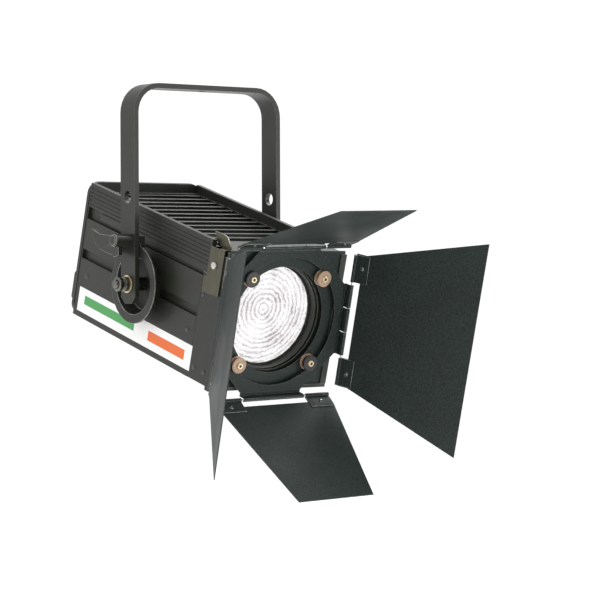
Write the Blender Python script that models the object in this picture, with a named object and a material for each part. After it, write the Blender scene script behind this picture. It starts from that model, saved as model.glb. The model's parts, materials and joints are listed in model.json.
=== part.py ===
"""Theatre LED Fresnel spotlight on a yoke, with a rotating four-leaf barndoor.

World frame: metres, +Z up, the lens looks along -Y. The origin is the hanging point, the centre
of the bolt hole on the yoke's top face. The head's parts are modelled in the optic frame: its
origin is on the lens axis near the barndoor carrier, and it tilts with the head. Sizes below are
millimetres, and MM turns them into metres. Outlines are (y, z), (x, z) or (x, y) points, and
turned profiles are (radius, place along the axis) points.
"""

import math

import bmesh
import bpy
from mathutils import Matrix

MM = 0.001
GAP = 0.3  # clearance between touching pieces
TURN = 2 * math.pi
ROUND = 32  # segments of a large round piece
SMALL_ROUND = 16
OVER = 2.0  # how far a cutter reaches past what it cuts

# yoke
BAR_WIDTH = 30.0
BAR_THICK = 6.0
YOKE_INNER = 100.0  # half the width between the arms
YOKE_OUTER = YOKE_INNER + BAR_THICK
BEND_RADIUS = 35.0  # outside of the bend
PIVOT_DROP = 236.0  # top face down to the tilt axis
ARM_BELOW = 23.0
ARM_CORNER = 9.0
ARM_HOLE_ABOVE = 102.0
ARM_HOLE_R = 7.5
HANG_HOLE_R = 5.5

# tilt lock, on the left arm
CLAMP_Y = -6.0
CLAMP_UP = 51.0
CLAMP_HOLE_R = 3.3
CLAMP_SHANK_R = 3.0
HUB_R = 7.5
HUB_OUT = 25.0
WING_OUT = (9.0, 15.0)  # the wing's two faces, out from the arm
JAW_HALF = 6.5
JAW_HEIGHT = (42.5, 56.5)

# tilt axis, seen from the optic frame, and its friction discs
TILT = math.radians(15.67)  # front down
PIVOT_BACK = 161.6
PIVOT_UP = -1.0
STUD_R = 5.0
STUD_HOLE_R = 5.3
DISC_R = 46.8
DISC_DISH_R = 36.0
RIM_IN = 97.0  # the rim's two faces, out from the middle
RIM_OUT = 99.0

# housing, half width and heights in the optic frame
HALF_W = 80.6
TOP = 85.0
COVER_TOP = 80.0  # top of the front housing
BOTTOM = -80.7
FRONT_EDGE = 11.2
FRONT_WALL = 13.5
PANEL_FRONT = 51.0
RAIL_FRONT = 43.0
RAIL_LOW = 46.0
BACK_FACE = 309.0
PANEL_THICK = 6.0
FLANGE = 16.5  # side panels' bottom flanges, inward
COVER_THICK = 3.0
RIM = 1.5
BACK_PLATE_THICK = 5.0
BACK_PLATE_MARGIN = 0.6

# top grille
GRILLE_HEIGHT = (67.0, 75.0)
GRILLE_FRAME = 2.5
SLOT_START = 72.9
SLOT_PITCH = 18.4
SLOT_WIDE = 13.8
SLOT_LEAN = 6.0
SLOT_END = 300.0
SLOTS = 13

# accessory runner
RUNNER_HALF = 84.3
RUNNER_BACK_HALF = 78.8
RUNNER_FRONT = 3.2
RUNNER_BACK = 13.2
RUNNER_SHEET = 1.2
RUNNER_LOW = -83.2
LATCH_NOTCH = (22.0, 90.0)  # heights where the left edges give way to the latch

# latch
LATCH_Y = 30.0
LATCH_Z = 58.0
LATCH_SHANK_R = 2.5
LATCH_THICK = 1.5
LATCH_RECESS = (-70.0, 72.0)  # inner side and floor of the corner the latch swings in

# optics
LENS_R = 60.8
LENS_FRONT = 28.6
LENS_STEPS = 6
TUBE_R = 61.2

# light engine and zoom
LED_Y = 100.0
BULKHEAD_HALF = 71.0
BULKHEAD_Z = (-76.0, 71.0)
CARRIAGE_THICK = 4.0
ROD_R = 4.0
RODS = ((-62.0, 45.0), (64.0, -28.0))
SCREW_X = 54.0
SCREW_Z = -51.0
SCREW_OUT = 11.0  # screw past the back face
KNOB_R = 14.0
KNOB_DEPTH = 14.0
FINS = 11
FIN_PITCH = 9.4
FAN_BLADES = 7

# rear panel
INLET = (-73.0, -57.0, -61.7, -33.3)  # body: left, right, low, high
INLET_FLANGE = (-78.0, -54.0, -65.0, -30.0)
INLET_OUT = 8.0
DISPLAY = (4.0, 50.0, 48.0, 66.0)
SOCKETS = ((-28.0, -54.0), (2.0, -54.0))
SOCKET_R = 12.0
BUTTONS = ((4.0, 38.0), (18.0, 38.0), (32.0, 38.0), (46.0, 38.0))
BUTTON_R = 3.4

# barndoor base and rollers
BASE_Y = (5.2, 6.7)
BASE_HALF = 82.8
BASE_LOW = -78.4
BASE_TOP = 82.0
BASE_OPENING_R = 63.5
ROLLER_CIRCLE = 72.0
ROLLER_R = 9.7
PIN_R = 2.6
CARRIER_Y = -0.5  # the carrier plate's middle

# barndoor carrier and leaves
BARNDOOR_REST = math.radians(1.3)  # the carrier's turn at rest
OPENING_R = 76.7
PLATE_HALF = 84.0
PLATE_THICK = 1.5
FLAT_HALF = 43.0  # half of each straight side of the eight-sided carrier
KNUCKLES = ((-42.5, -15.0), (-14.0, 14.0), (15.0, 42.5))
HINGE_OUT = 90.0
HINGE_Y = -8.5
HINGE_ROD_R = 1.1
HINGE_ROD_HALF = 79.0
CURL_OUT = 2.55
CURL_IN = 1.45
SHEET = (1.5, 2.5)  # the leaf's two faces, from its hinge axis
LEAF_ANGLE = {"top": 29.0, "right": 28.0, "bottom": 26.5, "left": 29.5}
LEAF_LENGTH = 158.0
LEAF_INNER_HALF = 80.5
LEAF_OUTER_HALF = {"top": 52.5, "right": 128.0, "bottom": 52.5, "left": 128.0}
LEAF_FLARE = 13.0
LEAF_SLOT = (46.0, 9.0)  # half length and depth
SIDES = ("top", "right", "bottom", "left")


def clear_scene():
    """Remove whatever the file holds."""
    for item in list(bpy.data.objects):
        bpy.data.objects.remove(item)


def material(name, colour, roughness, metallic):
    """A plain Principled material."""
    made = bpy.data.materials.new(name)
    made.use_nodes = True
    shader = made.node_tree.nodes["Principled BSDF"]
    shader.inputs["Base Color"].default_value = (*colour, 1.0)
    shader.inputs["Roughness"].default_value = roughness
    shader.inputs["Metallic"].default_value = metallic
    return made


def empty(name, location=(0, 0, 0), rotation=(0, 0, 0), parent=None):
    """A named frame; location in millimetres."""
    made = bpy.data.objects.new(name, None)
    made.location = [v * MM for v in location]
    made.rotation_euler = rotation
    made.parent = parent
    bpy.context.collection.objects.link(made)
    return made


def prism(outline, low, high, axis="Y"):
    """A closed solid: an outline pushed along an axis.

    The outline's points are (y, z) for X, (x, z) for Y and (x, y) for Z.
    """
    place = {
        "X": lambda u, v, w: (w, u, v),
        "Y": lambda u, v, w: (u, w, v),
        "Z": lambda u, v, w: (u, v, w),
    }[axis]
    bm = bmesh.new()
    near = [bm.verts.new(place(u, v, low)) for u, v in outline]
    far = [bm.verts.new(place(u, v, high)) for u, v in outline]
    bm.faces.new(near)
    bm.faces.new(far)
    count = len(outline)
    for i in range(count):
        j = (i + 1) % count
        bm.faces.new((near[i], near[j], far[j], far[i]))
    bmesh.ops.recalc_face_normals(bm, faces=bm.faces)
    return bm


def box(x, y, z):
    """A block between pairs of limits."""
    outline = [(x[0], y[0]), (x[1], y[0]), (x[1], y[1]), (x[0], y[1])]
    return prism(outline, z[0], z[1], "Z")


def lathe(profile, axis="Y", centre=(0, 0, 0), segments=ROUND):
    """A turned solid: profile points are (radius, place along the axis).

    A profile that starts and ends at radius 0 is solid, and any other one is a ring.
    """
    bm = bmesh.new()
    rings = []
    for radius, along in profile:
        if radius == 0:
            rings.append([bm.verts.new((0, 0, along))])
            continue
        ring = []
        for i in range(segments):
            a = TURN * i / segments
            ring.append(bm.verts.new((radius * math.cos(a), radius * math.sin(a), along)))
        rings.append(ring)
    solid = len(rings[0]) == 1
    pairs = list(zip(rings, rings[1:]))
    if not solid:
        pairs.append((rings[-1], rings[0]))
    for a, b in pairs:
        for i in range(segments):
            j = (i + 1) % segments
            if len(a) == 1:
                bm.faces.new((a[0], b[i], b[j]))
            elif len(b) == 1:
                bm.faces.new((a[i], a[j], b[0]))
            else:
                bm.faces.new((a[i], a[j], b[j], b[i]))
    turn = {
        "X": Matrix.Rotation(TURN / 4, 4, "Y"),
        "Y": Matrix.Rotation(-TURN / 4, 4, "X"),
        "Z": Matrix.Identity(4),
    }[axis]
    bm.transform(Matrix.Translation(centre) @ turn)
    bmesh.ops.recalc_face_normals(bm, faces=bm.faces)
    return bm


def rod(radius, low, high, axis="Y", centre=(0, 0, 0), segments=SMALL_ROUND):
    """A plain round bar, also used as a drill."""
    profile = [(0, low), (radius, low), (radius, high), (0, high)]
    return lathe(profile, axis, centre, segments)


def joined(shapes):
    """Several shapes in one bmesh."""
    whole = bmesh.new()
    for shape in shapes:
        mesh = bpy.data.meshes.new("joined")
        shape.to_mesh(mesh)
        shape.free()
        whole.from_mesh(mesh)
        bpy.data.meshes.remove(mesh)
    return whole


def side_turn(side):
    """The turn about the lens axis that takes the top side to another side."""
    return Matrix.Rotation(TURN / 4 * SIDES.index(side), 4, "Y")


def turned(shape, matrix):
    """A shape moved by a matrix."""
    shape.transform(matrix)
    return shape


def piece(name, shape, surface, parent=None, location=(0, 0, 0)):
    """A named object in its own material."""
    mesh = bpy.data.meshes.new(name)
    shape.transform(Matrix.Scale(MM, 4))
    shape.to_mesh(mesh)
    shape.free()
    mesh.shade_smooth()
    mesh.set_sharp_from_angle(angle=math.radians(35))
    made = bpy.data.objects.new(name, mesh)
    made.parent = parent
    made.location = [v * MM for v in location]
    own = surface.copy()
    own.name = name
    mesh.materials.append(own)
    bpy.context.collection.objects.link(made)
    return made


def boolean(target, shapes, operation):
    """Cut shapes out of an object, or add them to it."""
    tool = piece(f"{target.name}_{operation.lower()}", joined(shapes), target.data.materials[0])
    tool.parent = target.parent
    tool.location = target.location
    tool.hide_render = True
    tool.display_type = "WIRE"
    step = target.modifiers.new(operation.title(), "BOOLEAN")
    step.operation = operation
    step.solver = "EXACT"
    step.object = tool


def cut(target, *shapes):
    """Take shapes out of an object."""
    boolean(target, shapes, "DIFFERENCE")


def add(target, *shapes):
    """Join shapes to an object."""
    boolean(target, shapes, "UNION")


def arc(centre, radius, start, end, steps):
    """Points along an arc, angles in degrees."""
    points = []
    for i in range(steps + 1):
        a = math.radians(start + (end - start) * i / steps)
        points.append((centre[0] + radius * math.cos(a), centre[1] + radius * math.sin(a)))
    return points


def rounded_rectangle(left, right, low, high, radius, steps=6):
    """A rectangle's outline with round corners."""
    return (
        arc((right - radius, high - radius), radius, 90, 0, steps)
        + arc((right - radius, low + radius), radius, 0, -90, steps)
        + arc((left + radius, low + radius), radius, -90, -180, steps)
        + arc((left + radius, high - radius), radius, 180, 90, steps)
    )


def drill_side(radius, side, centre):
    """A drill through one side wall."""
    low, high = sorted((side * 60, side * 90))
    return rod(radius, low, high, "X", centre)


def make_yoke(black):
    """The stirrup: flat bar bent to a U, drilled for its hanging bolt and its pivots."""
    pivot = -PIVOT_DROP
    low = pivot - ARM_BELOW
    inside = BEND_RADIUS - BAR_THICK
    bend = (YOKE_OUTER - BEND_RADIUS, -BEND_RADIUS)
    left_bend = (-bend[0], bend[1])
    outline = [(-YOKE_OUTER, low)]
    outline += arc(left_bend, BEND_RADIUS, 180, 90, 8)
    outline += arc(bend, BEND_RADIUS, 90, 0, 8)
    outline += [(YOKE_OUTER, low), (YOKE_INNER, low)]
    outline += arc(bend, inside, 0, 90, 8)
    outline += arc(left_bend, inside, 90, 180, 8)
    outline += [(-YOKE_INNER, low)]
    half = BAR_WIDTH / 2
    yoke = piece("yoke", prism(outline, -half, half), black)
    wide = YOKE_OUTER + OVER
    corners = []
    for side in (-1, 1):
        tri = [
            (side * (half + 1), low - 1),
            (side * (half - ARM_CORNER), low - 1),
            (side * (half + 1), low + ARM_CORNER),
        ]
        corners.append(prism(tri, -wide, wide, "X"))
    drills = [
        rod(HANG_HOLE_R, -BAR_THICK - OVER, OVER, "Z"),
        rod(STUD_HOLE_R, -wide, wide, "X", (0, 0, pivot)),
        rod(ARM_HOLE_R, -wide, wide, "X", (0, 0, pivot + ARM_HOLE_ABOVE)),
        rod(CLAMP_HOLE_R, -wide, 0, "X", (0, CLAMP_Y, pivot + CLAMP_UP)),
    ]
    cut(yoke, *corners, *drills)


def make_tilt_lock(frame, black, steel):
    """The wing lever on its clamp screw, and the jaw that pinches the disc's rim to the arm."""
    outer = -YOKE_OUTER - GAP
    tip = outer - HUB_OUT
    shank_end = -91.0
    hub = [
        (0, tip),
        (HUB_R - 1.5, tip),
        (HUB_R, tip + 1.5),
        (HUB_R, outer),
        (CLAMP_SHANK_R, outer),
        (CLAMP_SHANK_R, shank_end),
        (0, shank_end),
    ]
    lever = piece("tilt_lock_lever", lathe(hub, "X", segments=SMALL_ROUND), black, frame)
    wing = [(0, -5), (3, -6), (3, -17.7), (14, -19.5), (16, -16.5), (24, -15.5), (42, -10)]
    wing += [(55, -1), (62.5, 12.5), (60.5, 14.5), (44, 8.5), (24, 6), (0, 6)]
    add(lever, prism(wing, outer - WING_OUT[1], outer - WING_OUT[0], "X"))
    across = (GAP - YOKE_INNER, -90)
    along = (CLAMP_Y - JAW_HALF, CLAMP_Y + JAW_HALF)
    jaw = piece("tilt_clamp_jaw", box(across, along, JAW_HEIGHT), steel, None, (0, 0, -PIVOT_DROP))
    step = box(
        (-YOKE_INNER - OVER, GAP - RIM_IN),
        (along[0] - OVER, along[1] + OVER),
        (JAW_HEIGHT[0] - OVER, DISC_R + 0.4),
    )
    cut(jaw, step)
    cut(jaw, rod(CLAMP_HOLE_R, -102, -88, "X", (0, CLAMP_Y, CLAMP_UP)))


def make_pivots(optic, black, steel, brass):
    """Friction discs, shouldered studs, washers and nuts on the tilt axis."""
    centre = (0, PIVOT_BACK, PIVOT_UP)
    floor, back = 83.0, 81.0
    dish = [
        (STUD_HOLE_R, back),
        (DISC_DISH_R - 4, back),
        (DISC_DISH_R + 1.5, RIM_IN),
        (DISC_R, RIM_IN),
        (DISC_R, RIM_OUT),
        (DISC_DISH_R, RIM_OUT),
        (DISC_DISH_R - 5, floor),
        (STUD_HOLE_R, floor),
    ]
    shoulder = YOKE_INNER - GAP
    stud = [
        (0, 63.0),
        (STUD_R, 63.0),
        (STUD_R, floor + GAP),
        (8.0, floor + GAP),
        (8.0, shoulder),
        (STUD_R, shoulder),
        (STUD_R, 124.5),
        (STUD_R - 1, 125.5),
        (0, 125.5),
    ]
    washer_face = YOKE_OUTER + GAP
    washer = [
        (STUD_HOLE_R, washer_face),
        (10.5, washer_face),
        (10.5, washer_face + 2),
        (STUD_HOLE_R, washer_face + 2),
    ]
    nut_face = washer_face + 2 + GAP
    nut = [
        (STUD_HOLE_R, nut_face),
        (8.8, nut_face),
        (8.8, nut_face + 4.5),
        (6.6, nut_face + 5.5),
        (6.6, nut_face + 7.0),
        (8.6, nut_face + 8.0),
        (8.6, nut_face + 12.5),
        (7.4, nut_face + 13.7),
        (STUD_HOLE_R, nut_face + 13.7),
    ]
    for side, name in ((-1, "left"), (1, "right")):
        for label, profile, surface, segments in (
            ("friction_disc", dish, black, ROUND),
            ("pivot_stud", stud, steel, SMALL_ROUND),
            ("pivot_washer", washer, brass, 24),
            ("pivot_nut", nut, steel, 18),
        ):
            outward = [(radius, side * along) for radius, along in profile]
            piece(f"{label}_{name}", lathe(outward, "X", centre, segments), surface, optic)


def make_side_panels(optic, black):
    """Extruded side panels: an L section with a ribbed rail and two deep grooves."""
    inner = HALF_W - PANEL_THICK
    turn_in = HALF_W - FLANGE
    section = [
        (HALF_W, BOTTOM),
        (HALF_W, TOP),
        (inner, TOP),
        (inner, BOTTOM + PANEL_THICK),
        (turn_in, BOTTOM + PANEL_THICK),
        (turn_in, BOTTOM),
    ]
    ribs, rib_low, rib_pitch, rib_wide, rib_deep = 6, 54.0, 4.8, 1.8, 0.8
    grooves = (
        (41.0, RAIL_LOW, PANEL_FRONT - 1, BACK_FACE - 2, 4.5),
        (45.0, 56.0, BACK_FACE - 30, BACK_FACE - 2.01, 4.4),
        (-8.6, 3.0, PANEL_FRONT + 1, BACK_FACE - 2, 4.5),
    )
    for side, name in ((-1, "left"), (1, "right")):
        outline = [(side * x, z) for x, z in section]
        panel = piece(f"{name}_side_panel", prism(outline, RAIL_FRONT, BACK_FACE), black, optic)
        across = sorted((side * (turn_in - OVER), side * (HALF_W + OVER)))
        notch = box(across, (RAIL_FRONT - OVER, PANEL_FRONT), (BOTTOM - OVER, RAIL_LOW))
        cut(panel, notch, drill_side(STUD_HOLE_R, side, (0, PIVOT_BACK, PIVOT_UP)))
        for low, high, start, end, depth in grooves:
            across = sorted((side * (HALF_W - depth), side * (HALF_W + OVER)))
            cut(panel, box(across, (start, end), (low, high)))
        across = sorted((side * (HALF_W - rib_deep), side * (HALF_W + OVER)))
        lines = []
        for i in range(ribs):
            low = rib_low + rib_pitch * i
            lines.append(box(across, (RAIL_FRONT + 3, BACK_FACE - 3), (low, low + rib_wide)))
        cut(panel, *lines)


def make_top_and_bottom(optic, black):
    """The recessed louvre grille on top, and the vented bottom plate."""
    half = HALF_W - PANEL_THICK - GAP
    start, end = PANEL_FRONT, BACK_FACE - GAP
    low, high = GRILLE_HEIGHT
    grille = piece("top_grille", box((-half, half), (start, end), (low, high)), black, optic)
    slots = []
    for i in range(SLOTS):
        front = SLOT_START + SLOT_PITCH * i
        back = min(front + SLOT_WIDE, SLOT_END)
        outline = [
            (front, high + OVER),
            (back, high + OVER),
            (back + SLOT_LEAN, low - OVER),
            (front + SLOT_LEAN, low - OVER),
        ]
        slots.append(prism(outline, GRILLE_FRAME - half, half - GRILLE_FRAME, "X"))
    cut(grille, *slots)
    half = HALF_W - FLANGE - GAP
    sheet = (BOTTOM, BOTTOM + COVER_THICK)
    bottom = piece("bottom_plate", box((-half, half), (start, end), sheet), black, optic)
    vents, first, pitch, wide = 8, 90.0, 24.0, 8.0
    holes = []
    for side in (-1, 1):
        across = sorted((side * 8, side * 52))
        for i in range(vents):
            front = first + pitch * i
            holes.append(box(across, (front, front + wide), (BOTTOM - OVER, BOTTOM + 5)))
    cut(bottom, *holes)


def latch_notch():
    """Room at the left edge of the runner and the barndoor base for the latch to swing."""
    return box((-RUNNER_HALF - OVER, GAP - HALF_W), (-OVER, FRONT_EDGE + OVER), LATCH_NOTCH)


def make_front(optic, black):
    """The front housing, and the runner that takes the barndoor and colour frames."""
    back = PANEL_FRONT - GAP
    outline = [(-HALF_W, BOTTOM), (HALF_W, BOTTOM), (HALF_W, COVER_TOP), (-HALF_W, COVER_TOP)]
    housing = piece("front_housing", prism(outline, FRONT_EDGE, back), black, optic)
    inner = HALF_W - COVER_THICK
    hollow = box(
        (-inner, inner),
        (FRONT_WALL + 2, back + OVER),
        (BOTTOM + COVER_THICK, COVER_TOP - COVER_THICK),
    )
    dish = box(
        (RIM - HALF_W, HALF_W - RIM),
        (FRONT_EDGE - OVER, FRONT_WALL),
        (BOTTOM + RIM, COVER_TOP - RIM),
    )
    cut(housing, hollow)
    cut(housing, dish)
    cut(housing, rod(63.4, 5, 25, segments=ROUND))
    rail_side = HALF_W - PANEL_THICK - GAP
    for side in (-1, 1):
        across = sorted((side * rail_side, side * (HALF_W + OVER)))
        rail = (RAIL_FRONT - GAP, back + OVER)
        cut(housing, box(across, rail, (RAIL_LOW - GAP, COVER_TOP + OVER)))
    cut(housing, drill_side(LATCH_SHANK_R + GAP, -1, (0, LATCH_Y, LATCH_Z)))
    inside, floor = LATCH_RECESS
    along = (FRONT_EDGE - OVER, back + OVER)
    cut(housing, box((-HALF_W - OVER, inside), along, (floor, COVER_TOP + OVER)))

    front, rear, sheet = RUNNER_FRONT, RUNNER_BACK, RUNNER_SHEET
    lip_in, middle_in, middle = 76.5, 68.0, 7.6
    step = FRONT_EDGE - GAP
    half_outline = [
        (0, rear),
        (RUNNER_BACK_HALF, rear),
        (RUNNER_BACK_HALF, step),
        (RUNNER_HALF, step),
        (RUNNER_HALF, front),
        (lip_in, front),
        (lip_in, front + sheet),
        (RUNNER_HALF - sheet, front + sheet),
        (RUNNER_HALF - sheet, middle),
        (middle_in, middle),
        (middle_in, middle + sheet),
        (RUNNER_BACK_HALF - sheet, middle + sheet),
        (RUNNER_BACK_HALF - sheet, rear - sheet),
        (0, rear - sheet),
    ]
    mirrored = [(-x, y) for x, y in reversed(half_outline) if x]
    low, high = BOTTOM + RIM + GAP, COVER_TOP - RIM - GAP
    runner = piece("accessory_runner", prism(half_outline + mirrored, low, high, "Z"), black, optic)
    stop_half = RUNNER_HALF - GAP
    stop = box((-stop_half, stop_half), (front + 0.2, step - 0.2), (RUNNER_LOW, low + 0.2))
    add(runner, stop)
    cut(runner, latch_notch())
    cut(runner, rod(TUBE_R + 1.0, 10, 15, segments=ROUND))


def make_latch(optic, olive, steel):
    """The latch on the left: a plate on a screw, with a short strap and a thumb tab on top."""
    latch = empty("latch_axis", (0, LATCH_Y, LATCH_Z), parent=optic)
    inside = -HALF_W - GAP
    outside = inside - LATCH_THICK
    plate = [(-15, 21.2), (-15, -32.5), (17.5, -35), (17.5, -17), (12, -15)]
    plate += [(12, 20.3), (-6, 20.3), (-6, 21.2)]
    body = piece("top_latch", prism(plate, outside, inside, "X"), olive, latch)
    bend = 20.3
    tab_side = (-73.5, -72.0)
    add(body, box((outside + 0.1, tab_side[1] - 0.1), (-14.9, -6.1), (bend, bend + LATCH_THICK)))
    tab = [(-12.7, bend + 0.2), (10, bend + 0.2), (21, 35.0), (5, 35.5), (-4, 34.3), (-12.7, 25)]
    add(body, prism(tab, *tab_side, "X"))
    cut(body, rod(LATCH_SHANK_R + GAP, -90, -78, "X"))
    head = outside - GAP
    screw = [(0, -72.0), (LATCH_SHANK_R, -72.0), (LATCH_SHANK_R, head)]
    screw += [(4.6, head), (4.0, head - 2.0), (0, head - 2.5)]
    shape = lathe(screw, "X", (0, LATCH_Y, LATCH_Z), SMALL_ROUND)
    piece("latch_screw", shape, steel, optic)


def make_optics(optic, black, glass):
    """The lens and the ring that holds it."""
    seat = 58.8
    ring = [
        (seat, 26.8),
        (TUBE_R, 26.8),
        (TUBE_R, 15.8),
        (63.0, 15.8),
        (63.0, 39.0),
        (70.0, 39.0),
        (70.0, 41.0),
        (TUBE_R, 41.0),
        (TUBE_R, 28.3),
        (seat, 28.3),
    ]
    piece("lens_ring", lathe(ring), black, optic)
    front, face = [], LENS_FRONT + 0.6
    for i in range(LENS_STEPS):
        inner_r = (LENS_R - 2.5) * i / LENS_STEPS
        outer_r = (LENS_R - 2.5) * (i + 1) / LENS_STEPS
        rise = 2.6 * (i + 1) / LENS_STEPS
        front.append((inner_r, face))
        front.append((outer_r - 0.4, face + rise))
    rim = [(LENS_R, LENS_FRONT + 1.0), (LENS_R, LENS_FRONT + 7), (0, LENS_FRONT + 7)]
    piece("fresnel_lens", lathe(front + rim), glass, optic)


def runs(radius, low, high):
    """Drills for the two guide rods and the lead screw."""
    places = (*RODS, (SCREW_X, SCREW_Z))
    return [rod(radius, low, high, centre=(x, 0, z)) for x, z in places]


def make_light_engine(optic, black, aluminium, chip_yellow, steel):
    """The carriage on its two rods, with the LED, heat sink and fan."""
    front, back = 45.0, 47.5
    sheet = box((-BULKHEAD_HALF, BULKHEAD_HALF), (front, back), BULKHEAD_Z)
    bulkhead = piece("bulkhead", sheet, black, optic)
    cut(bulkhead, rod(60, front - OVER, back + OVER, segments=ROUND))
    cut(bulkhead, *runs(ROD_R + GAP, front - OVER, back + OVER))
    for (x, z), name in zip(RODS, ("left", "right")):
        body = rod(ROD_R, 44.0, BACK_FACE - GAP, centre=(x, 0, z))
        piece(f"guide_rod_{name}", body, steel, optic)
    carriage = empty("carriage_frame", (0, LED_Y, 0), parent=optic)
    outline = rounded_rectangle(-69, 69, -58, 56, 6, 3)
    plate = piece("carriage_plate", prism(outline, 0, CARRIAGE_THICK), aluminium, carriage)
    cut(plate, *runs(ROD_R + GAP, -OVER, CARRIAGE_THICK + OVER))
    module = [(0, -6.5), (6, -6.0), (11, -4.0), (13, -2.5), (24, -2.4), (24, -GAP), (0, -GAP)]
    piece("led_module", lathe(module, segments=24), chip_yellow, carriage)
    foot, root, tip, half_fin = CARRIAGE_THICK + GAP, 10.0, 50.0, 1.0
    half = FIN_PITCH * (FINS - 1) / 2 + half_fin
    comb = [(-half, foot), (half, foot)]
    for i in reversed(range(FINS)):
        middle = FIN_PITCH * (i - (FINS - 1) / 2)
        comb += [(middle + half_fin, tip), (middle - half_fin, tip)]
        if i:
            comb += [(middle - half_fin, root), (middle - FIN_PITCH + half_fin, root)]
    piece("heat_sink", prism(comb, -48, 48, "Z"), aluminium, carriage)
    make_fan(carriage, black)


def make_fan(carriage, black):
    """The fan behind the heat sink: a square frame with three arms, and its rotor."""
    low, high, half = 50.3, 75.0, 46.0
    frame = piece("fan_frame", box((-half, half), (low, high), (-half, half)), black, carriage)
    cut(frame, rod(43.5, low - OVER, high + OVER, segments=ROUND))
    for i in range(3):
        arm = box((-2.5, 2.5), (high - 2.5, high - 0.3), (3, 45))
        add(frame, turned(arm, Matrix.Rotation(TURN / 3 * i + 0.5, 4, "Y")))
    add(frame, rod(15, high - 2.6, high - 0.2, segments=24))
    fan = empty("fan_axis", parent=carriage)
    rotor = piece("fan_rotor", rod(15, 53, 71.5, segments=24), black, fan)
    blades = []
    for i in range(FAN_BLADES):
        blade = box((-1.0, 1.0), (-8.5, 8.5), (12, 41))
        lean = Matrix.Translation((0, 62, 0)) @ Matrix.Rotation(math.radians(50), 4, "Z")
        blades.append(turned(blade, Matrix.Rotation(TURN / FAN_BLADES * i, 4, "Y") @ lean))
    add(rotor, *blades)


def make_zoom(optic, black, steel):
    """The lead screw that moves the carriage, with its knob behind the back plate."""
    zoom = empty("zoom_axis", (SCREW_X, 0, SCREW_Z), parent=optic)
    end = BACK_FACE + SCREW_OUT
    piece("lead_screw", rod(ROD_R, 43.0, end), steel, zoom)
    start = BACK_FACE + BACK_PLATE_THICK + 2 * GAP
    tip = start + KNOB_DEPTH
    profile = [(0, start), (KNOB_R, start), (KNOB_R, tip - 3), (KNOB_R - 3, tip), (0, tip)]
    knob = piece("zoom_knob", lathe(profile, segments=30), black, zoom)
    cut(knob, rod(ROD_R + GAP, start - OVER, end + GAP))


def make_rear(optic, black, grey, dark_glass, aluminium):
    """The back plate with its sockets, display and buttons, and the electronics inside."""
    margin = BACK_PLATE_MARGIN
    outline = rounded_rectangle(
        -HALF_W - margin, HALF_W + margin, BOTTOM - margin, TOP + margin, 14, 6
    )
    low = BACK_FACE + GAP
    high = low + BACK_PLATE_THICK
    plate = piece("back_plate", prism(outline, low, high), black, optic)
    holes = []
    for left, right, down, up in (INLET, DISPLAY):
        around = rounded_rectangle(left - GAP, right + GAP, down - GAP, up + GAP, 2, 3)
        holes.append(prism(around, low - OVER, high + OVER))
    rounds = [(x, z, SOCKET_R + GAP, 20) for x, z in SOCKETS]
    rounds += [(x, z, BUTTON_R + GAP, 12) for x, z in BUTTONS]
    rounds.append((SCREW_X, SCREW_Z, ROD_R + 2 * GAP, SMALL_ROUND))
    for x, z, radius, segments in rounds:
        holes.append(rod(radius, low - OVER, high + OVER, centre=(x, 0, z), segments=segments))
    cut(plate, *holes)

    body = prism(rounded_rectangle(*INLET, 2, 3), low - 18, high + 1)
    inlet = piece("power_inlet", body, black, optic)
    flange = rounded_rectangle(*INLET_FLANGE, 3, 3)
    add(inlet, prism(flange, high + GAP, high + INLET_OUT))
    left, right, down, up = INLET
    recess = rounded_rectangle(left + 2, right - 2, down + 3.5, up - 3.5, 2, 3)
    cut(inlet, prism(recess, high - 6, high + INLET_OUT + OVER))
    window = rounded_rectangle(*DISPLAY, 2, 3)
    piece("display_window", prism(window, low + 0.5, high + 0.4), dark_glass, optic)
    wall = SOCKET_R - 2.5
    for (x, z), name in zip(SOCKETS, ("in", "out")):
        profile = [(0, low - 16), (SOCKET_R, low - 16), (SOCKET_R, high + 1.5)]
        profile += [(wall, high + 1.5), (wall, high - 9), (0, high - 9)]
        piece(f"data_socket_{name}", lathe(profile, "Y", (x, 0, z), 20), grey, optic)
    for number, (x, z) in enumerate(BUTTONS, 1):
        profile = [(0, low - 1.5), (BUTTON_R, low - 1.5), (BUTTON_R, high + 1.5)]
        profile += [(BUTTON_R - 0.8, high + 2.2), (0, high + 2.2)]
        place = empty(f"button_{number}_axis", (x, 0, z), parent=optic)
        piece(f"menu_button_{number}", lathe(profile, segments=12), grey, place)
    driver = prism(rounded_rectangle(-58, 58, -32, 24, 4, 3), 234, 286)
    piece("driver_box", driver, aluminium, optic)


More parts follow.
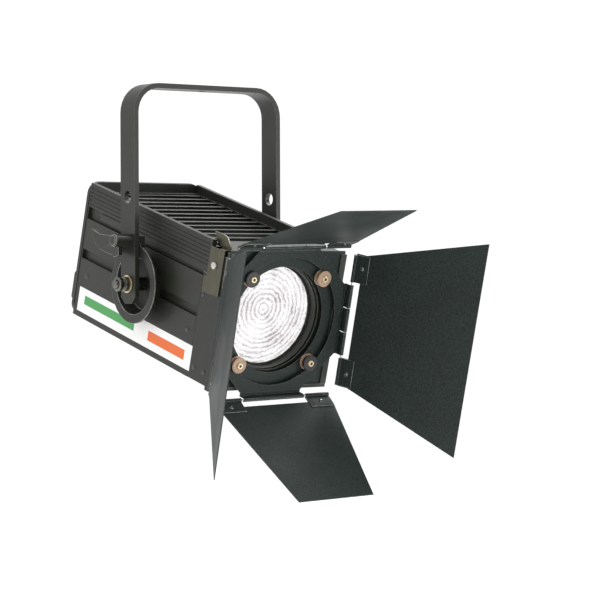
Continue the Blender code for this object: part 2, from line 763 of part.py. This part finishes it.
def make_barndoor_base(optic, black, bronze, brass):
    """The base plate in the runner, with four grooved rollers on pins."""
    front, back = BASE_Y
    half = BASE_HALF
    sheet = box((-half, half), (front, back), (BASE_LOW, BASE_TOP))
    base = piece("barndoor_base", sheet, black, optic)
    reach = ROLLER_CIRCLE / math.sqrt(2)
    places = [(reach, reach), (reach, -reach), (-reach, -reach), (-reach, reach)]
    drills = [rod(PIN_R + GAP, front - OVER, back + OVER, centre=(x, 0, z)) for x, z in places]
    cut(base, rod(BASE_OPENING_R, front - OVER, back + OVER, segments=48), *drills)
    cut(base, latch_notch())
    groove = OPENING_R - ROLLER_CIRCLE - GAP
    half_wheel = [(groove, 1.4), (ROLLER_R, 2.6), (ROLLER_R, 3.8), (8.6, 4.4), (PIN_R + GAP, 4.4)]
    wheel = [(radius, CARRIER_Y - out) for radius, out in reversed(half_wheel)]
    wheel += [(radius, CARRIER_Y + out) for radius, out in half_wheel]
    head, collar = CARRIER_Y - 5.7, CARRIER_Y + 4.7
    pin = [
        (0, head),
        (3.2, head),
        (4.0, head + 0.8),
        (4.0, head + 0.9),
        (PIN_R, head + 0.9),
        (PIN_R, collar),
        (4.4, collar),
        (4.4, front - GAP),
        (PIN_R, front - GAP),
        (PIN_R, back + GAP),
        (3.6, back + GAP),
        (0, back + 1.0),
    ]
    for number, (x, z) in enumerate(places, 1):
        axis = empty(f"roller_{number}_axis", (x, 0, z), parent=optic)
        piece(f"roller_{number}", lathe(wheel, segments=SMALL_ROUND), bronze, axis)
        piece(f"roller_pin_{number}", lathe(pin, segments=10), brass, optic, (x, 0, z))


def curl(start, end):
    """The outline of a rolled knuckle round the origin, between two angles in degrees."""
    return arc((0, 0), CURL_OUT, start, end, 6), arc((0, 0), CURL_IN, end, start, 6)


def make_barndoor_carrier(barndoor, black, steel):
    """The rotating eight-sided plate, with rolled knuckles on four sides, and its hinge rods."""
    front, back = CARRIER_Y - PLATE_THICK / 2, CARRIER_Y + PLATE_THICK / 2
    ring = []
    for side in (1, -1):
        ring += [(side * PLATE_HALF, side * FLAT_HALF), (side * PLATE_HALF, -side * FLAT_HALF)]
        ring += [(side * FLAT_HALF, -side * PLATE_HALF), (-side * FLAT_HALF, -side * PLATE_HALF)]
    plate = piece("barndoor_carrier", prism(ring, front, back), black, barndoor)
    cut(plate, rod(OPENING_R, front - OVER, back + OVER, segments=48))
    outer, inner = curl(-90, -360)
    outline = [(back + 0.1, HINGE_OUT - CURL_OUT)]
    outline += [(y + HINGE_Y, z + HINGE_OUT) for y, z in outer + inner]
    outline.append((back + 0.1, HINGE_OUT - CURL_IN))
    knuckle_reach = KNUCKLES[-1][1]
    links, knuckles = [], []
    for side in SIDES:
        bar = box(
            (-knuckle_reach - 0.1, knuckle_reach + 0.1),
            (front + 0.1, back - 0.1),
            (PLATE_HALF - 1, HINGE_OUT - CURL_IN - 0.1),
        )
        links.append(turned(bar, side_turn(side)))
        for low, high in KNUCKLES:
            knuckles.append(turned(prism(outline, low, high, "X"), side_turn(side)))
    add(plate, *links)
    add(plate, *knuckles)
    centre = (0, HINGE_Y, HINGE_OUT)
    for side in SIDES:
        shape = rod(HINGE_ROD_R, -HINGE_ROD_HALF, HINGE_ROD_HALF, "X", centre, 8)
        piece(f"hinge_rod_{side}", turned(shape, side_turn(side)), steel, barndoor)


def make_leaves(barndoor, black):
    """Four leaves: a sheet with a long slot at its hinge edge, and a rolled knuckle at each end."""
    slot_half, slot_deep = LEAF_SLOT
    edge = -0.2
    inner = LEAF_INNER_HALF
    outside, inside = curl(90, -190)
    strip = [(-5.0, CURL_OUT)] + outside + inside + [(-5.0, CURL_IN)]
    for number, side in enumerate(SIDES):
        turn = empty(f"{side}_side", rotation=(0, TURN / 4 * number, 0), parent=barndoor)
        opened = (-math.radians(LEAF_ANGLE[side]), 0, 0)
        hinge = empty(f"{side}_hinge", (0, HINGE_Y, HINGE_OUT), opened, turn)
        outer = LEAF_OUTER_HALF[side]
        right = [(slot_half, edge), (inner, edge), (inner, -LEAF_FLARE), (outer, -LEAF_LENGTH)]
        left = [(-x, y) for x, y in reversed(right)]
        slot = [(-slot_half, -slot_deep), (slot_half, -slot_deep)]
        leaf = piece(f"leaf_{side}", prism(right + left + slot, *SHEET, "Z"), black, hinge)
        reach = (slot_half + GAP, inner - 1.5)
        ends = [prism(strip, *reach, "X"), prism(strip, -reach[1], -reach[0], "X")]
        add(leaf, *ends)


def main():
    """Build the whole light."""
    clear_scene()
    black = material("black_coat", (0.055, 0.058, 0.052), 0.45, 0.2)
    olive = material("olive_zinc", (0.16, 0.155, 0.11), 0.35, 0.8)
    steel = material("bright_steel", (0.55, 0.55, 0.54), 0.3, 1.0)
    brass = material("brass", (0.75, 0.62, 0.38), 0.35, 1.0)
    bronze = material("bronze_plastic", (0.42, 0.29, 0.2), 0.4, 0.4)
    aluminium = material("bare_aluminium", (0.7, 0.7, 0.7), 0.35, 1.0)
    glass = material("lens_glass", (0.95, 0.95, 0.95), 0.1, 0.0)
    chip_yellow = material("led_yellow", (0.9, 0.75, 0.3), 0.4, 0.0)
    grey = material("grey_plastic", (0.3, 0.3, 0.3), 0.5, 0.0)
    dark_glass = material("dark_window", (0.01, 0.01, 0.02), 0.1, 0.0)

    make_yoke(black)
    lock = empty("tilt_lock_axis", (0, CLAMP_Y, CLAMP_UP - PIVOT_DROP))
    make_tilt_lock(lock, black, steel)
    tilt = empty("tilt_axis", (0, 0, -PIVOT_DROP), (TILT, 0, 0))
    optic = empty("optic_frame", (0, -PIVOT_BACK, -PIVOT_UP), parent=tilt)
    make_pivots(optic, black, steel, brass)
    make_side_panels(optic, black)
    make_top_and_bottom(optic, black)
    make_front(optic, black)
    make_latch(optic, olive, steel)
    make_optics(optic, black, glass)
    make_light_engine(optic, black, aluminium, chip_yellow, steel)
    make_zoom(optic, black, steel)
    make_rear(optic, black, grey, dark_glass, aluminium)
    make_barndoor_base(optic, black, bronze, brass)
    barndoor = empty("barndoor_axis", rotation=(0, -BARNDOOR_REST, 0), parent=optic)
    make_barndoor_carrier(barndoor, black, steel)
    make_leaves(barndoor, black)


main()
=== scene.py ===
"""The looks of a theatre Fresnel spotlight with a four-leaf barndoor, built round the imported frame.

Lengths in the piece builders are millimetres in the optic frame (origin on the lens axis, the lens
looks along -Y), and the optic frame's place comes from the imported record's joints.
"""

import json
import math

import bmesh
import bpy
from mathutils import Matrix, Vector


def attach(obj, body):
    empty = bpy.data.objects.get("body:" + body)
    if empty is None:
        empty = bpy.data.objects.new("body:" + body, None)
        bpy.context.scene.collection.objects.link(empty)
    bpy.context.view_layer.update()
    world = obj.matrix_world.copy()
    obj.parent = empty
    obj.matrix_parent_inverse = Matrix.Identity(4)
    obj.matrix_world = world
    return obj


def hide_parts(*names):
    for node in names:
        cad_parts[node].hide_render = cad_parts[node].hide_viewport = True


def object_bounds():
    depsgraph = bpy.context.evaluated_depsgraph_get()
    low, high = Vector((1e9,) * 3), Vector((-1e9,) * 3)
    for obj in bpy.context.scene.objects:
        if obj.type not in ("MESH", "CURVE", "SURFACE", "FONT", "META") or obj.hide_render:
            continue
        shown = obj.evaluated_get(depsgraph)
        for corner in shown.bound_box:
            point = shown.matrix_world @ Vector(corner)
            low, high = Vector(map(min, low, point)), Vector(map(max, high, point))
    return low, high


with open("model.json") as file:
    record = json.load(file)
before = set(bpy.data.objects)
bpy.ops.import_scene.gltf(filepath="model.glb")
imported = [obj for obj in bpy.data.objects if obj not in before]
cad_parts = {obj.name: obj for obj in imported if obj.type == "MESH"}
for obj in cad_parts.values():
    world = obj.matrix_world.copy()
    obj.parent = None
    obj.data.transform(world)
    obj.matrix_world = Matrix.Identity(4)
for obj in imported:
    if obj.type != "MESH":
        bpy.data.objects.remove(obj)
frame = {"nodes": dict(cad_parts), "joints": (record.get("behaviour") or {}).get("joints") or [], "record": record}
CAD_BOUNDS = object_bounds()

MM = 0.001
TURN = 2 * math.pi
JOINTS = {joint["name"]: joint for joint in frame["joints"]}
NODE_BODY = {n: b for b, ns in frame["record"]["behaviour"]["bodies"].items() for n in ns}
NODE_SLOT = {s["node"]: s["material_slot"] for s in frame["record"]["subparts"]}
PIVOT = Vector(JOINTS["tilt"]["pos_m"])
CARRIER_AHEAD = 0.5  # the carrier's middle, ahead of the optic frame's origin


def optic_frame():
    """The matrix that takes optic millimetres to the row frame's metres."""
    turn = JOINTS["barndoor_turn"]
    back = Vector(turn["axis"]).normalized()
    right = Vector((1, 0, 0))
    up = right.cross(back)
    origin = Vector(turn["pos_m"]) + back * CARRIER_AHEAD * MM
    place = Matrix((right, back, up)).transposed().to_4x4()
    place.translation = origin
    return place @ Matrix.Scale(MM, 4)


OPTIC = optic_frame()


# ---------------------------------------------------------------- shader helpers


class Shader:
    """A material under construction."""

    def __init__(self, name, colour, roughness, metallic=0.0):
        self.material = bpy.data.materials.new(name)
        self.material.use_nodes = True
        self.tree = self.material.node_tree
        self.main = self.tree.nodes["Principled BSDF"]
        self.main.inputs["Base Color"].default_value = (*colour, 1)
        self.main.inputs["Roughness"].default_value = roughness
        self.main.inputs["Metallic"].default_value = metallic
        self.place = self.node("ShaderNodeTexCoord").outputs["Object"]

    def node(self, kind, **values):
        made = self.tree.nodes.new(kind)
        for key, value in values.items():
            setattr(made, key, value)
        return made

    def link(self, source, target):
        self.tree.links.new(source, target)

    def noise(self, scale, detail=3.0, roughness=0.55):
        """A noise value from 0 to 1."""
        made = self.node("ShaderNodeTexNoise")
        made.inputs["Scale"].default_value = scale
        made.inputs["Detail"].default_value = detail
        made.inputs["Roughness"].default_value = roughness
        self.link(self.place, made.inputs["Vector"])
        return made.outputs["Fac"]

    def ramp(self, value, stops):
        """Colours along a value."""
        made = self.node("ShaderNodeValToRGB")
        elements = made.color_ramp.elements
        while len(elements) < len(stops):
            elements.new(0.5)
        for element, (at, colour) in zip(elements, stops):
            element.position = at
            element.color = (*colour, 1)
        self.link(value, made.inputs["Fac"])
        return made.outputs["Color"]

    def math(self, operation, a, b):
        made = self.node("ShaderNodeMath", operation=operation)
        for slot, value in zip(made.inputs, (a, b)):
            if isinstance(value, (int, float)):
                slot.default_value = value
            else:
                self.link(value, slot)
        return made.outputs["Value"]

    def bump(self, height, distance, strength=1.0):
        made = self.node("ShaderNodeBump")
        made.inputs["Distance"].default_value = distance
        made.inputs["Strength"].default_value = strength
        self.link(height, made.inputs["Height"])
        self.link(made.outputs["Normal"], self.main.inputs["Normal"])

    def colour_from(self, socket):
        self.link(socket, self.main.inputs["Base Color"])

    def roughness_from(self, socket):
        self.link(socket, self.main.inputs["Roughness"])


def grey(value):
    return (value, value, value)


def scaled(colour, by):
    return tuple(channel * by for channel in colour)


def powder_coat(
    name,
    colour,
    roughness=0.42,
    grain=900.0,
    depth=0.00004,
    speckle=0.25,
    patch=0.12,
    gloss=0.5,
    tones=(0.72, 1.3),
):
    """Textured powder coat: fine orange peel, tiny specks and slow patches of tone."""
    s = Shader(name, colour, roughness)
    fine = s.noise(grain, 2.0, 0.6)
    slow = s.noise(22.0, 3.0, 0.5)
    specks = s.noise(grain * 0.9, 1.0, 0.5)
    tone = s.math("ADD", s.math("MULTIPLY", slow, patch), s.math("MULTIPLY", specks, speckle))
    middle = 0.5 * (patch + speckle)
    spread = 0.5 * (0.4 * patch + 0.5 * speckle)
    low, high = middle - spread, middle + spread
    s.colour_from(s.ramp(tone, [(low, scaled(colour, tones[0])), (high, scaled(colour, tones[1]))]))
    s.roughness_from(s.ramp(slow, [(0.3, grey(roughness - 0.05)), (0.7, grey(roughness + 0.07))]))
    s.bump(fine, depth)
    s.main.inputs["Specular IOR Level"].default_value = gloss
    return s.material


def edge_wear_and_highlight(name, colour, roughness=0.35):
    """Where the coat is thin on an edge: lighter, a little metallic, uneven; the lighter colour also paints the
    highlight that edges catch.
    """
    s = Shader(name, colour, roughness, 0.6)
    wear_and_glint = s.noise(140.0, 4.0, 0.7)
    s.colour_from(s.ramp(wear_and_glint, [(0.35, scaled(colour, 0.45)), (0.62, scaled(colour, 1.25))]))
    return s.material


def metal(name, colour, roughness=0.3):
    """Bare or plated metal with a fine grain and slight stains."""
    s = Shader(name, colour, roughness, 1.0)
    grain = s.noise(700.0, 2.0, 0.6)
    stain = s.noise(60.0, 4.0, 0.6)
    s.colour_from(s.ramp(stain, [(0.3, scaled(colour, 0.82)), (0.7, scaled(colour, 1.08))]))
    s.roughness_from(s.ramp(grain, [(0.3, grey(roughness - 0.07)), (0.7, grey(roughness + 0.1))]))
    s.bump(grain, 0.00002)
    return s.material


def moulded(name, colour, roughness=0.5, drift=0.12):
    """Moulded plastic with a fine spark-eroded grain."""
    s = Shader(name, colour, roughness)
    grain = s.noise(1400.0, 2.0, 0.5)
    slow = s.noise(50.0, 2.0, 0.5)
    low, high = scaled(colour, 1 - drift), scaled(colour, 1 + drift)
    s.colour_from(s.ramp(slow, [(0.3, low), (0.7, high)]))
    s.bump(grain, 0.00003)
    return s.material


RING_PITCH = 0.0058
RING_CENTRE = (-4, 0, 6)


def glowing_lens(name):
    """The lit Fresnel lens: nearly white, with soft rings and a stippled grain."""
    s = Shader(name, (0.03, 0.03, 0.03), 0.3)
    centre = OPTIC @ Vector(RING_CENTRE)
    back = (OPTIC.to_3x3() @ Vector((0, 1, 0))).normalized()
    shift = s.node("ShaderNodeVectorMath", operation="SUBTRACT")
    shift.inputs[1].default_value = centre
    s.link(s.place, shift.inputs[0])
    along = s.node("ShaderNodeVectorMath", operation="DOT_PRODUCT")
    along.inputs[1].default_value = back
    s.link(shift.outputs["Vector"], along.inputs[0])
    length = s.node("ShaderNodeVectorMath", operation="LENGTH")
    s.link(shift.outputs["Vector"], length.inputs[0])
    square = s.math("MULTIPLY", length.outputs["Value"], length.outputs["Value"])
    depth = s.math("MULTIPLY", along.outputs["Value"], along.outputs["Value"])
    radius = s.math("SQRT", s.math("SUBTRACT", square, depth), 0.0)
    wobble = s.noise(120.0, 3.0, 0.6)
    patches = s.noise(45.0, 3.0, 0.6)
    turns = s.math("MULTIPLY", radius, TURN / RING_PITCH)
    phase = s.math("ADD", turns, s.math("MULTIPLY", wobble, 7.0))
    rings = s.math("ADD", s.math("MULTIPLY", s.math("SINE", phase, 0.0), 0.5), 0.5)
    stipple = s.noise(900.0, 2.0, 0.7)
    grain = s.math("ADD", s.math("MULTIPLY", stipple, 0.75), s.math("MULTIPLY", patches, 0.45))
    mixed = s.math("ADD", s.math("MULTIPLY", rings, 0.2), grain)
    glow = s.ramp(mixed, [(0.5, (0.34, 0.29, 0.31)), (0.66, (0.88, 0.85, 0.86)), (0.74, (1, 1, 1))])
    s.link(glow, s.main.inputs["Emission Color"])
    s.main.inputs["Emission Strength"].default_value = 0.98
    s.main.inputs["Specular IOR Level"].default_value = 0.2
    s.bump(stipple, 0.0001)
    return s.material


OLIVE_BLACK = (0.019, 0.021, 0.016)
LEAF_BLACK = (0.010, 0.016, 0.014)
COAT = powder_coat("body_coat", OLIVE_BLACK, 0.4, gloss=0.38)
# The edge colours are lighter than their coats: worn coat plus painted edge highlights.
COAT_EDGE = edge_wear_and_highlight("body_coat_edge", (0.34, 0.34, 0.31))
LEAF = powder_coat(
    "leaf_coat",
    LEAF_BLACK,
    0.5,
    grain=650.0,
    depth=0.00009,
    speckle=0.5,
    gloss=0.28,
    tones=(0.4, 2.2),
)
LEAF_EDGE = edge_wear_and_highlight("leaf_coat_edge", (0.42, 0.45, 0.43))
OLIVE = metal("olive_zinc", (0.115, 0.11, 0.08), 0.38)
OLIVE_EDGE = edge_wear_and_highlight("olive_zinc_edge", (0.5, 0.48, 0.38))
STEEL = metal("plated_steel", (0.62, 0.62, 0.60), 0.28)
BLACK_STEEL = metal("blackened_steel", (0.09, 0.09, 0.09), 0.35)
DARK_RIVET = metal("dark_rivet", (0.16, 0.17, 0.17), 0.22)
DULL_STEEL = metal("dull_steel", (0.17, 0.17, 0.15), 0.3)
BRASS = metal("brass", (0.80, 0.66, 0.42), 0.3)
ALUMINIUM = metal("bare_aluminium", (0.72, 0.72, 0.72), 0.35)
BRONZE = moulded("bronze_plastic", (0.40, 0.27, 0.18), 0.33)
BLACK_PLASTIC = moulded("black_plastic", (0.022, 0.022, 0.022), 0.45)
GREY_PLASTIC = moulded("grey_plastic", (0.30, 0.30, 0.30), 0.5)
WINDOW = moulded("display_window", (0.008, 0.008, 0.012), 0.08)
CHIP = moulded("led_phosphor", (0.85, 0.68, 0.22), 0.35)
LENS = glowing_lens("lit_lens")

FINISH = {
    "black_coat": (COAT, COAT_EDGE),
    "barndoor_black": (LEAF, LEAF_EDGE),
    "olive_zinc": (OLIVE, OLIVE_EDGE),
    "bright_steel": (STEEL, STEEL),
    "brass": (BRASS, BRASS),
    "bronze_plastic": (BRONZE, BRONZE),
    "black_plastic": (BLACK_PLASTIC, BLACK_PLASTIC),
    "aluminium": (ALUMINIUM, ALUMINIUM),
    "lens_glass": (LENS, LENS),
    "led": (CHIP, CHIP),
    "grey_plastic": (GREY_PLASTIC, GREY_PLASTIC),
    "display": (WINDOW, WINDOW),
}


OWN_FINISH = {
    "pivot_nut_left": (DULL_STEEL, DULL_STEEL),
    "pivot_nut_right": (DULL_STEEL, DULL_STEEL),
    "pivot_stud_left": (DULL_STEEL, DULL_STEEL),
    "pivot_stud_right": (DULL_STEEL, DULL_STEEL),
}


# ---------------------------------------------------------------- piece helpers


def finished_piece(obj, node):
    """The piece stands for a CAD node: the node is hidden and the piece rides on its body."""
    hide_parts(node)
    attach(obj, NODE_BODY[node])
    return obj


def shaded(obj, angle=35.0):
    obj.data.shade_smooth()
    obj.data.set_sharp_from_angle(angle=math.radians(angle))


def softened(obj, width, segments=2, angle=40.0):
    """A small bevel on the sharp edges, in the material's second, edge colour, which is worn coat plus a painted
    highlight.
    """
    step = obj.modifiers.new("softened", "BEVEL")
    step.width = width
    step.segments = segments
    step.limit_method = "ANGLE"
    step.angle_limit = math.radians(angle)
    step.harden_normals = True
    step.material = 1
    return obj


def refined(node, width=0.0004, segments=2):
    """The CAD node's own shape with soft edges, lighter for wear and for a painted highlight."""
    bm = bmesh.new()
    bm.from_mesh(frame["nodes"][node].data)
    bmesh.ops.remove_doubles(bm, verts=bm.verts, dist=1e-6)
    bmesh.ops.dissolve_limit(bm, angle_limit=math.radians(0.8), verts=bm.verts, edges=bm.edges)
    mesh = bpy.data.meshes.new(node + "_skin")
    bm.to_mesh(mesh)
    bm.free()
    mesh.materials.clear()
    for surface in OWN_FINISH.get(node) or FINISH[NODE_SLOT[node]]:
        mesh.materials.append(surface)
    for face in mesh.polygons:
        face.material_index = 0
    obj = bpy.data.objects.new(node + "_skin", mesh)
    bpy.context.scene.collection.objects.link(obj)
    shaded(obj)
    softened(obj, width, segments)
    return finished_piece(obj, node)


def detail(name, bm, body, slot, place, width=0.0002, surfaces=None):
    """A small piece the solids leave out, given in millimetres of its own frame."""
    mesh = bpy.data.meshes.new(name)
    bm.transform(place)
    bm.to_mesh(mesh)
    bm.free()
    for surface in surfaces or FINISH[slot]:
        mesh.materials.append(surface)
    obj = bpy.data.objects.new(name, mesh)
    bpy.context.scene.collection.objects.link(obj)
    shaded(obj)
    if width:
        softened(obj, width)
    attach(obj, body)
    return obj


def block(x, y, z):
    """A box between pairs of limits."""
    bm = bmesh.new()
    bmesh.ops.create_cube(bm, size=1)
    middle = Vector([(a + b) / 2 for a, b in (x, y, z)])
    size = Matrix.Diagonal((x[1] - x[0], y[1] - y[0], z[1] - z[0], 1))
    bm.transform(Matrix.Translation(middle) @ size)
    return bm


def dome(radius, height, place, segments=20):
    """A low round head on the XY plane, moved into place."""
    bm = bmesh.new()
    steps = 5
    rings = []
    for i in range(steps + 1):
        a = TURN / 4 * i / steps
        if i == steps:
            rings.append([bm.verts.new((0, 0, height))])
            continue
        r, up = radius * math.cos(a), height * math.sin(a)
        rings.append([
            bm.verts.new((r * math.cos(TURN * j / segments), r * math.sin(TURN * j / segments), up))
            for j in range(segments)
        ])
    for low, high in zip(rings, rings[1:]):
        for j in range(segments):
            k = (j + 1) % segments
            if len(high) == 1:
                bm.faces.new((low[j], low[k], high[0]))
            else:
                bm.faces.new((low[j], low[k], high[k], high[j]))
    bm.faces.new(list(reversed(rings[0])))
    bm.transform(place)
    return bm


def merged(shapes):
    """Several bmeshes as one."""
    whole = bmesh.new()
    for shape in shapes:
        mesh = bpy.data.meshes.new("part")
        shape.to_mesh(mesh)
        shape.free()
        whole.from_mesh(mesh)
        bpy.data.meshes.remove(mesh)
    return whole


SIDES = ("top", "right", "bottom", "left")
LEAF_OPEN = {"top": 29.0, "right": 28.0, "bottom": 26.5, "left": 29.5}
HINGE_OUT, HINGE_Y = 90.0, -8.5
BARNDOOR_REST = math.radians(-1.3)
LAP_ENDS = (46.4, 79.4)  # from the leaf's middle
LAP_ALONG = (-17.5, -0.6)
LAP_FACES = (0.6, 1.45)
LEAF_OUTER_FACE = 2.5
RIVET_AT = (64, -9)


def leaf_frame(side):
    """The matrix of a leaf's own frame: x along the hinge, -y along the sheet, z its outer side."""
    turn = Matrix.Rotation(BARNDOOR_REST + TURN / 4 * SIDES.index(side), 4, "Y")
    hinge = Matrix.Translation((0, HINGE_Y, HINGE_OUT))
    return OPTIC @ turn @ hinge @ Matrix.Rotation(-math.radians(LEAF_OPEN[side]), 4, "X")


def dress_leaves():
    """The hinge halves' lap tabs, each with one domed rivet on both faces."""
    for side in SIDES:
        tabs, rivets = [], []
        for end in (-1, 1):
            across = sorted((end * LAP_ENDS[0], end * LAP_ENDS[1]))
            tabs.append(block(across, LAP_ALONG, LAP_FACES))
            x, y = end * RIVET_AT[0], RIVET_AT[1]
            inward = Matrix.Translation((x, y, LAP_FACES[0])) @ Matrix.Rotation(math.pi, 4, "X")
            rivets.append(dome(3.0, 1.3, inward))
            rivets.append(dome(2.6, 1.1, Matrix.Translation((x, y, LEAF_OUTER_FACE))))
        body, place = "leaf_" + side, leaf_frame(side)
        detail(f"leaf_{side}_laps", merged(tabs), body, "barndoor_black", place)
        name = f"leaf_{side}_rivets"
        detail(name, merged(rivets), body, "bright_steel", place, 0, (DARK_RIVET,))


PIN_FACE = -6.2
EYELET_RING = (1.9, 3.3, -0.2, 0.5)  # inner and outer radius, back and front
EYELET_HOLE_R = 1.85
FLANGE_RING = (7.6, 9.85, -1.0, 1.25)
FLANGE_Y = 2.6
ROLLER_REACH = 72.0 / math.sqrt(2)
ROLLER_PLACES = ((1, 1), (1, -1), (-1, -1), (-1, 1))


def tube(inner, outer, low, high, place, segments=40):
    """A ring round Z between two heights."""
    bm = bmesh.new()
    rings = []
    for radius, up in ((inner, low), (outer, low), (outer, high), (inner, high)):
        rings.append([
            bm.verts.new((
                radius * math.cos(TURN * j / segments), radius * math.sin(TURN * j / segments), up
            ))
            for j in range(segments)
        ])
    for low_ring, high_ring in zip(rings, rings[1:] + rings[:1]):
        for j in range(segments):
            k = (j + 1) % segments
            bm.faces.new((low_ring[j], low_ring[k], high_ring[k], high_ring[j]))
    bm.transform(place)
    bmesh.ops.recalc_face_normals(bm, faces=bm.faces)
    return bm


def dress_rollers():
    """Each pin's hollow eyelet rim, with a black disc in it that paints the shade inside the hollow, and the
    bronze rear flange of the black-faced rollers.
    """
    rims, hole_shades = [], []
    forward = Matrix.Rotation(TURN / 4, 4, "X")
    for number, (side, height) in enumerate(ROLLER_PLACES, 1):
        x, z = side * ROLLER_REACH, height * ROLLER_REACH
        spot = Matrix.Translation((x, PIN_FACE, z)) @ forward
        rims.append(tube(*EYELET_RING, spot))
        # A black disc across the eyelet's mouth: painted shade for the hollow inside.
        hole_shades.append(dome(EYELET_HOLE_R, 0.15, spot))
        if number % 2 == 0:
            flange = Matrix.Translation((x, FLANGE_Y, z)) @ forward
            shape = tube(*FLANGE_RING, flange)
            name, body = f"roller_{number}_flange", f"roller_{number}"
            detail(name, shape, body, "black_plastic", OPTIC, surfaces=FINISH["bronze_plastic"])
    detail("pin_rims", merged(rims), "head", "brass", OPTIC)
    detail("pin_hole_shades", merged(hole_shades), "head", "brass", OPTIC, 0, (BLACK_PLASTIC,))


PANEL_X = 80.6
BACK_PLATE_FACE = 314.3
SIDE_SCREWS = ((22, -66), (42, -66), (46, 20), (66, -28), (290, -28))
LABEL = (50.0, 301.0, -73.5, -43.5)  # y and z limits on the left panel
LABEL_COLOURS = {
    "label_white": (0.88, 0.88, 0.87),
    "label_green": (0.06, 0.32, 0.08),
    "label_orange": (0.75, 0.14, 0.02),
}


def stick_label():
    """The left panel's long white label, with plain colour bars in place of the maker's print."""
    start, end, low, high = LABEL
    face = -PANEL_X
    areas = {
        "label_white": (0.05, (start, end), (low, high)),
        "label_green": (0.08, (end - 128, end - 14), (low + 11, high - 8)),
        "label_orange": (0.08, (start + 14, start + 92), (low + 9, high - 9)),
    }
    for name, (lift, along, heights) in areas.items():
        ink = moulded(name, LABEL_COLOURS[name], 0.45, 0.02)
        shape = block((face - lift - 0.1, face - 0.02), along, heights)
        detail(name, shape, "head", "grey_plastic", OPTIC, 0, (ink,))


def drive_screws():
    """Domed screws on the back plate, the front housing and the side panels."""
    heads = []
    for x in (-70, 70):
        for z in (-72, 6, 74):
            turn = Matrix.Rotation(-TURN / 4, 4, "X")
            heads.append(dome(3.4, 1.6, Matrix.Translation((x, BACK_PLATE_FACE, z)) @ turn))
    for side in (-1, 1):
        turn = Matrix.Rotation(side * TURN / 4, 4, "Y")
        for y, z in SIDE_SCREWS:
            heads.append(dome(3.2, 1.4, Matrix.Translation((side * PANEL_X, y, z)) @ turn))
    detail("housing_screws", merged(heads), "head", "bright_steel", OPTIC, 0, (BLACK_STEEL,))


# ---------------------------------------------------------------- stage


FLOOR_HALF = 30.0
FLOOR_BELOW = 0.35
WORLD_STRENGTH = 1.05
# name, direction from the tilt axis, distance and size in metres, watts
SOFT_LIGHTS = (
    ("soft_overhead", (0.6, 0.07, 0.8), 2.6, 2.0, 80.0),
    ("soft_front_right", (0.6, -0.67, -0.25), 2.6, 1.6, 42.0),
)


def make_stage():
    """A pale floor, white surroundings and soft lights."""
    floor_mesh = bpy.data.meshes.new("floor")
    size, low = FLOOR_HALF, CAD_BOUNDS[0][2] - FLOOR_BELOW
    corners = [(-size, -size, low), (size, -size, low), (size, size, low), (-size, size, low)]
    floor_mesh.from_pydata(corners, [], [(0, 1, 2, 3)])
    floor = bpy.data.objects.new("floor", floor_mesh)
    bpy.context.scene.collection.objects.link(floor)
    pale = Shader("pale_floor", (0.98, 0.98, 0.98), 1.0)
    floor_mesh.materials.append(pale.material)
    world = bpy.data.worlds.new("studio")
    bpy.context.scene.world = world
    world.use_nodes = True
    background = world.node_tree.nodes["Background"]
    background.inputs["Color"].default_value = (1, 1, 1, 1)
    background.inputs["Strength"].default_value = WORLD_STRENGTH
    bpy.context.scene.view_settings.view_transform = "Standard"
    for name, towards, away, size, power in SOFT_LIGHTS:
        data = bpy.data.lights.new(name, "AREA")
        data.size = size
        data.energy = power
        lamp = bpy.data.objects.new(name, data)
        direction = Vector(towards).normalized()
        lamp.location = PIVOT + direction * away
        lamp.rotation_euler = direction.to_track_quat("Z", "Y").to_euler()
        bpy.context.scene.collection.objects.link(lamp)


CAMERA_AZIMUTH = math.radians(-37.209)
CAMERA_ELEVATION = math.radians(0.844)
CAMERA_ROLL = math.radians(-0.187)
CAMERA_DISTANCE = 2.8804
CAMERA_ASIDE = 0.11711
CAMERA_LIFT = -0.02036
LENS_MM = 36.0 * 2402.9 / 600.0


def make_camera():
    """A long lens at the light's left front, level with its tilt axis."""
    a, e = CAMERA_AZIMUTH, CAMERA_ELEVATION
    back = Vector((math.sin(a) * math.cos(e), -math.cos(a) * math.cos(e), math.sin(e)))
    right = Vector((math.cos(a), math.sin(a), 0))
    up = back.cross(right)
    place = PIVOT + back * CAMERA_DISTANCE + right * CAMERA_ASIDE + up * CAMERA_LIFT
    r = CAMERA_ROLL
    side = math.cos(r) * right + math.sin(r) * up
    top = math.cos(r) * up - math.sin(r) * right
    data = bpy.data.cameras.new("camera")
    data.lens = LENS_MM
    data.sensor_width = 36.0
    camera = bpy.data.objects.new("camera", data)
    matrix = Matrix((side, top, back)).transposed().to_4x4()
    matrix.translation = place
    camera.matrix_world = matrix
    bpy.context.scene.collection.objects.link(camera)
    bpy.context.scene.camera = camera


# ---------------------------------------------------------------- build

make_stage()
make_camera()
for node in sorted(frame["nodes"]):
    refined(node)
dress_leaves()
dress_rollers()
stick_label()
drive_screws()
